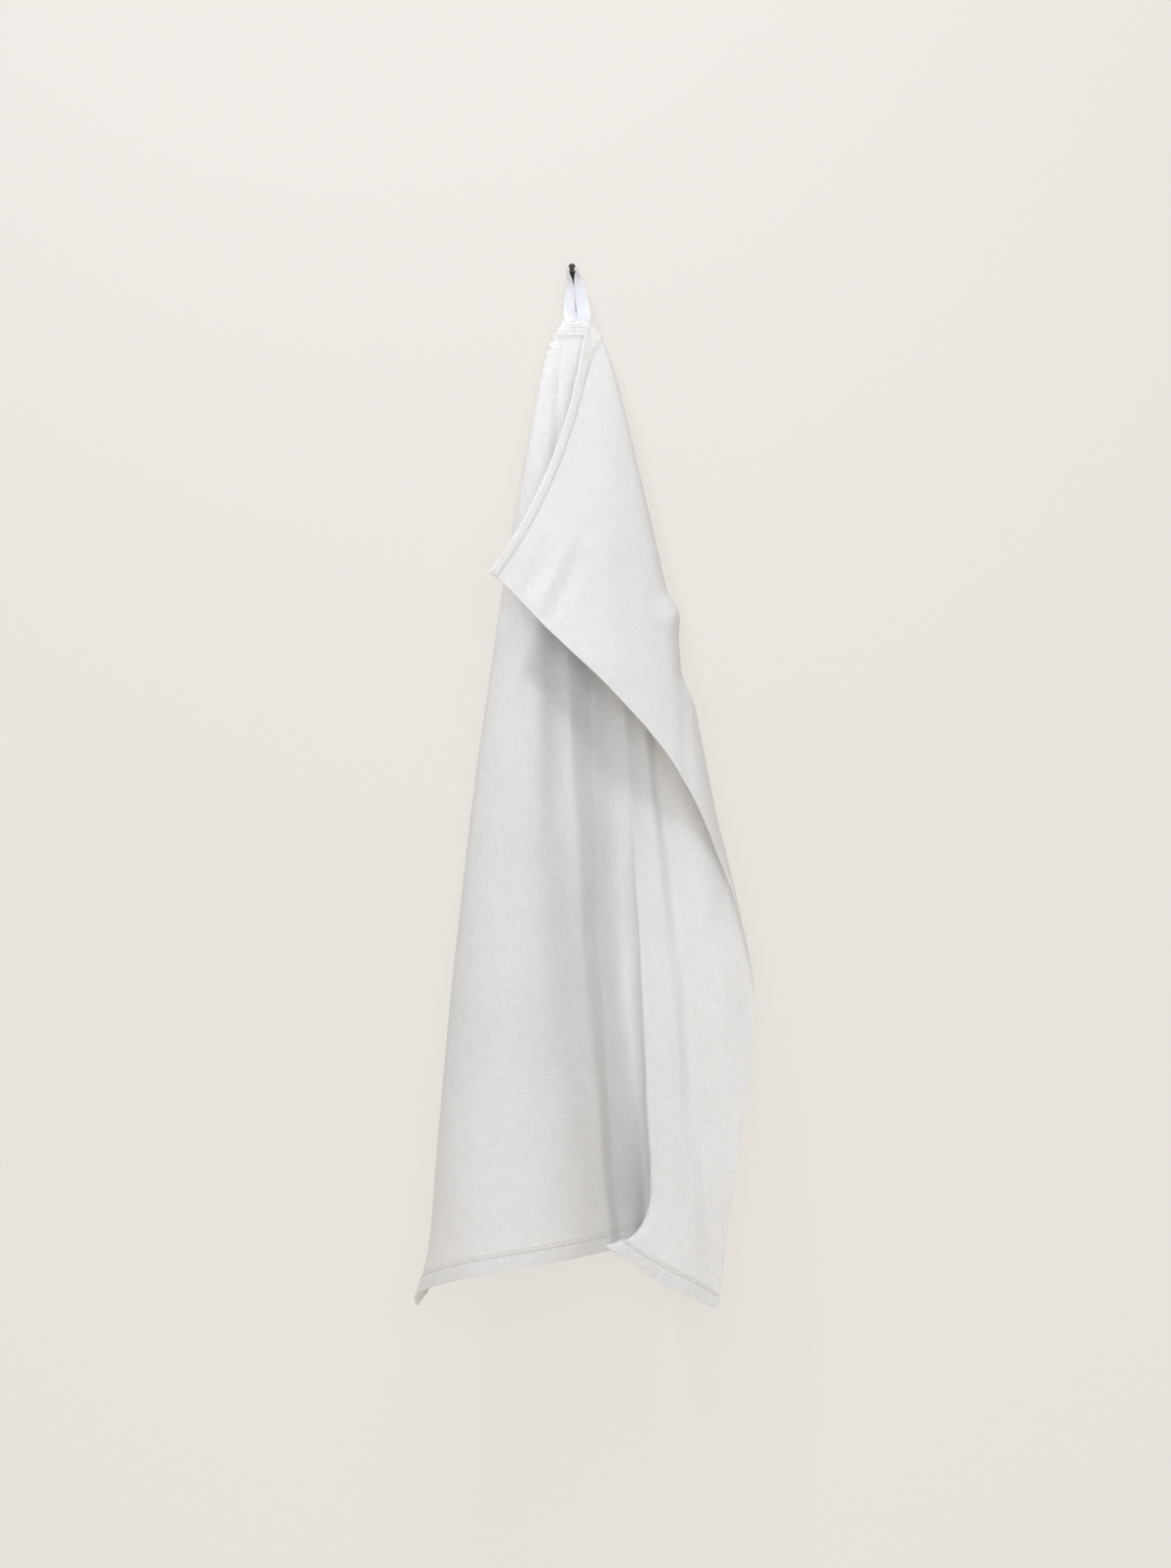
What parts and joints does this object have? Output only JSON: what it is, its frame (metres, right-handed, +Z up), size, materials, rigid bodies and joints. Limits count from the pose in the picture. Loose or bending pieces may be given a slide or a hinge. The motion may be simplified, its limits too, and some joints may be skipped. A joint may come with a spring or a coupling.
{
  "type": "kitchen towel and wall hook",
  "caption": "Plain white linen kitchen towel hanging in folds by its sewn tape loop from a small dark wall hook.",
  "frame": {"origin": "middle of the hook plate's back face, on the wall", "axes": "+Z up, +Y into the wall, -Y out to the room, +X to the right as seen from the room"},
  "size_m": [0.2526, 0.1496, 0.7849],
  "materials": {
    "linen": "washed plain weave",
    "tape": "woven cotton tape",
    "iron": "satin black"
  },
  "bodies": {
    "root": {"towel": "linen", "hanging_loop": "tape", "hook": "iron"}
  },
  "joints": []
}
